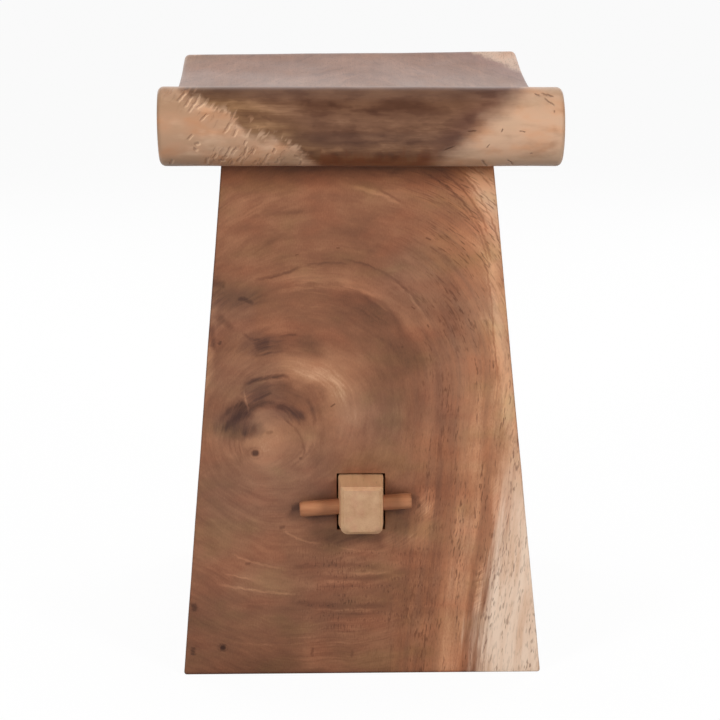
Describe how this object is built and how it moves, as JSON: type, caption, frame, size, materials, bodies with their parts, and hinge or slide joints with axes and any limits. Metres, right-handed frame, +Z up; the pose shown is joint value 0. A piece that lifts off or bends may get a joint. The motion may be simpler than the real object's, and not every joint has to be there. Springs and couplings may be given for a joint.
{
  "type": "saddle stool",
  "caption": "Solid wood saddle stool with a hollowed seat and rolled ends, tapered slab legs, and a through-tenoned stretcher locked by round pegs.",
  "frame": {"origin": "on the floor under the middle of the stool", "axes": "+Z up, +Y along the seat's length towards the rear leg, +X across the seat to the right of the picture's view"},
  "size_m": [0.298, 0.45, 0.457],
  "materials": {
    "seat_wood": "oiled solid hardwood, satin",
    "leg_wood": "oiled solid hardwood, satin",
    "stretcher_wood": "oiled solid hardwood, satin",
    "peg_wood": "oiled solid hardwood, satin",
    "dowel_wood": "bare pale hardwood"
  },
  "bodies": {
    "stool_frame": {"seat": "seat_wood", "front_leg": "leg_wood", "rear_leg": "leg_wood", "stretcher": "stretcher_wood", "front_dowel_left": "dowel_wood", "front_dowel_middle": "dowel_wood", "front_dowel_right": "dowel_wood", "rear_dowel_left": "dowel_wood", "rear_dowel_middle": "dowel_wood", "rear_dowel_right": "dowel_wood"},
    "front_peg": {"front_peg": "peg_wood"},
    "rear_peg": {"rear_peg": "peg_wood"}
  },
  "joints": [
    {"name": "front_peg_draw", "type": "slide", "parent": "stool_frame", "child": "front_peg", "axis": [0.9973, 0, 0.0732], "range_m": [-0.06085, 0.06765]},
    {"name": "rear_peg_draw", "type": "slide", "parent": "stool_frame", "child": "rear_peg", "axis": [-0.9973, 0, 0.0732], "range_m": [-0.06085, 0.06765]}
  ]
}
